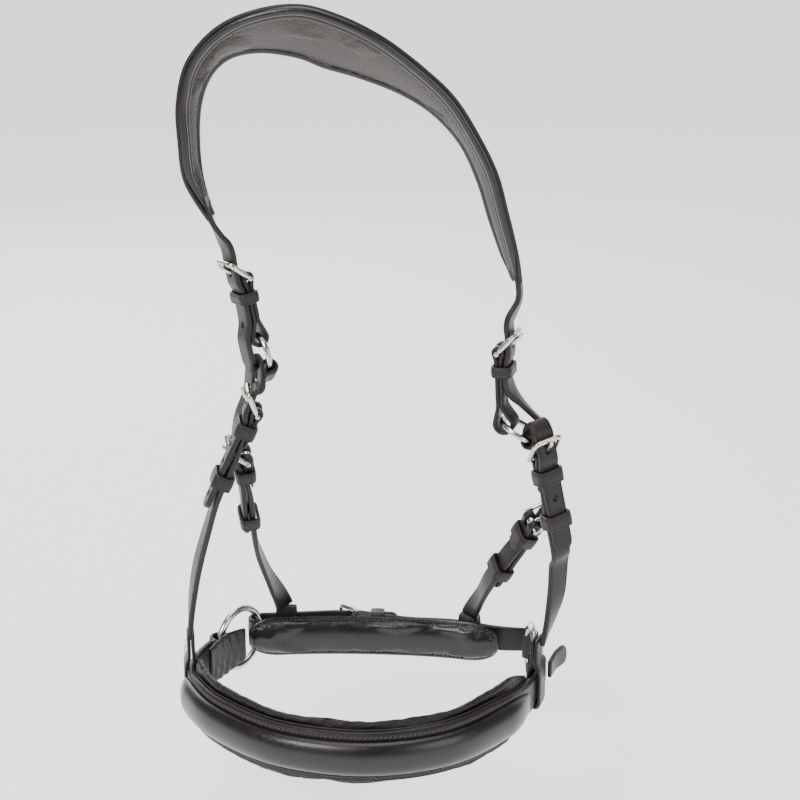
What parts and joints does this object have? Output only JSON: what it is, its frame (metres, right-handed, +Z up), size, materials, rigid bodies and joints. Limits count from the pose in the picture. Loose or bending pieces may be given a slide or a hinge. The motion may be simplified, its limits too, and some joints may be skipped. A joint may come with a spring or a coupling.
{
  "type": "headcollar",
  "caption": "Leather headcollar with a padded shaped crown, ringed cheek straps, buckled hangers and a padded noseband with a chin pad.",
  "frame": {"origin": "middle of the crown's underside, where it rests on the poll", "axes": "+Z up, the noseband's front faces -Y, the wearer's cheek straps at -X and +X"},
  "size_m": [0.2138, 0.1764, 0.3915],
  "materials": {
    "strap_leather": "satin",
    "padded_leather": "glossy",
    "soft_leather": "matte",
    "crown_lining": "pebbled matte",
    "nickel": "polished"
  },
  "bodies": {
    "headpiece": {"crown_strap": "strap_leather", "crown_padding": "crown_lining", "left_cheek_billet": "strap_leather", "left_cheek_tab": "strap_leather", "left_cheek_keeper": "strap_leather", "left_cheek_buckle": "nickel", "right_cheek_billet": "strap_leather", "right_cheek_tab": "strap_leather", "right_cheek_keeper": "strap_leather", "right_cheek_buckle": "nickel"},
    "nosepiece": {"left_front_billet": "strap_leather", "left_front_hanger": "strap_leather", "left_front_buckle": "nickel", "left_front_keeper": "strap_leather", "left_rear_billet": "strap_leather", "left_rear_hanger": "strap_leather", "left_rear_buckle": "nickel", "left_rear_keeper": "strap_leather", "right_front_billet": "strap_leather", "right_front_hanger": "strap_leather", "right_front_buckle": "nickel", "right_front_keeper": "strap_leather", "right_rear_billet": "strap_leather", "right_rear_hanger": "strap_leather", "right_rear_buckle": "nickel", "right_rear_keeper": "strap_leather", "noseband_strap": "strap_leather", "noseband_pad": "padded_leather", "noseband_lining": "soft_leather", "left_ring_guard": "soft_leather", "right_end_flap": "strap_leather", "chin_pad": "soft_leather", "jaw_strap": "strap_leather", "jaw_billet": "strap_leather", "jaw_buckle": "nickel", "jaw_keeper": "strap_leather"},
    "left_cheek_tongue": {"left_cheek_tongue": "nickel"},
    "right_cheek_tongue": {"right_cheek_tongue": "nickel"},
    "left_cheek_ring": {"left_cheek_ring": "nickel"},
    "right_cheek_ring": {"right_cheek_ring": "nickel"},
    "left_front_tongue": {"left_front_tongue": "nickel"},
    "left_rear_tongue": {"left_rear_tongue": "nickel"},
    "right_front_tongue": {"right_front_tongue": "nickel"},
    "right_rear_tongue": {"right_rear_tongue": "nickel"},
    "left_front_runner": {"left_front_runner": "strap_leather"},
    "left_rear_runner": {"left_rear_runner": "strap_leather"},
    "right_front_runner": {"right_front_runner": "strap_leather"},
    "right_rear_runner": {"right_rear_runner": "strap_leather"},
    "left_side_ring": {"left_side_ring": "nickel"},
    "right_side_ring": {"right_side_ring": "nickel"},
    "jaw_tongue": {"jaw_tongue": "nickel"}
  },
  "joints": [
    {"name": "noseband_swing", "type": "hinge", "parent": "headpiece", "child": "nosepiece", "pos_m": [0.0397, 0, -0.17173], "axis": [0.9395, 0, -0.3425], "range_deg": [-5, 6]},
    {"name": "left_front_tongue_turn", "type": "hinge", "parent": "nosepiece", "child": "left_front_tongue", "pos_m": [-0.024, -0.006, -0.188], "axis": [0.1261, -0.988, -0.0894], "range_deg": [0, 20]},
    {"name": "left_rear_tongue_turn", "type": "hinge", "parent": "nosepiece", "child": "left_rear_tongue", "pos_m": [-0.032, 0.018, -0.221], "axis": [0.2243, -0.8955, -0.3845], "range_deg": [0, 20]},
    {"name": "right_front_tongue_turn", "type": "hinge", "parent": "nosepiece", "child": "right_front_tongue", "pos_m": [0.1235, -0.009, -0.211], "axis": [0.8448, 0.51, 0.162], "range_deg": [0, 20]},
    {"name": "right_rear_tongue_turn", "type": "hinge", "parent": "nosepiece", "child": "right_rear_tongue", "pos_m": [0.1215, 0.03, -0.264], "axis": [-0.2563, 0.8327, 0.4908], "range_deg": [0, 20]},
    {"name": "jaw_tongue_turn", "type": "hinge", "parent": "nosepiece", "child": "jaw_tongue", "pos_m": [0.025, 0.0795, -0.3495], "axis": [0, 0, -1], "range_deg": [0, 20]},
    {"name": "left_cheek_tongue_turn", "type": "hinge", "parent": "headpiece", "child": "left_cheek_tongue", "pos_m": [-0.0295, 0, -0.118], "axis": [0.5049, -0.8584, 0.0909], "range_deg": [0, 20]},
    {"name": "right_cheek_tongue_turn", "type": "hinge", "parent": "headpiece", "child": "right_cheek_tongue", "pos_m": [0.1015, 0, -0.157], "axis": [0.3011, 0.9535, 0.0151], "range_deg": [0, 20]},
    {"name": "left_front_runner_slide", "type": "slide", "parent": "nosepiece", "child": "left_front_runner", "axis": [0.4106, -0.03, 0.9113], "range_m": [-0.006, 0.006]},
    {"name": "left_rear_runner_slide", "type": "slide", "parent": "nosepiece", "child": "left_rear_runner", "axis": [-0.0199, -0.3986, 0.9169], "range_m": [-0.006, 0.006]},
    {"name": "right_front_runner_slide", "type": "slide", "parent": "nosepiece", "child": "right_front_runner", "axis": [-0.1999, 0.02, 0.9796], "range_m": [-0.006, 0.006]},
    {"name": "right_rear_runner_slide", "type": "slide", "parent": "nosepiece", "child": "right_rear_runner", "axis": [0.4211, -0.3609, 0.8321], "range_m": [-0.006, 0.006]},
    {"name": "left_cheek_ring_turn", "type": "hinge", "parent": "nosepiece", "child": "left_cheek_ring", "pos_m": [-0.02215, 0, -0.15884], "axis": [-0.8448, -0.513, -0.1521], "continuous": true},
    {"name": "right_cheek_ring_turn", "type": "hinge", "parent": "nosepiece", "child": "right_cheek_ring", "pos_m": [0.11256, -0.00137, -0.1999], "axis": [-0.466, 0.0702, -0.882], "continuous": true},
    {"name": "left_side_ring_turn", "type": "hinge", "parent": "nosepiece", "child": "left_side_ring", "pos_m": [-0.042, 0.064, -0.3495], "axis": [-0.8, 0.6, 0], "continuous": true},
    {"name": "right_side_ring_turn", "type": "hinge", "parent": "nosepiece", "child": "right_side_ring", "pos_m": [0.124, 0.04, -0.3495], "axis": [0.9982, 0.0599, 0], "continuous": true}
  ]
}
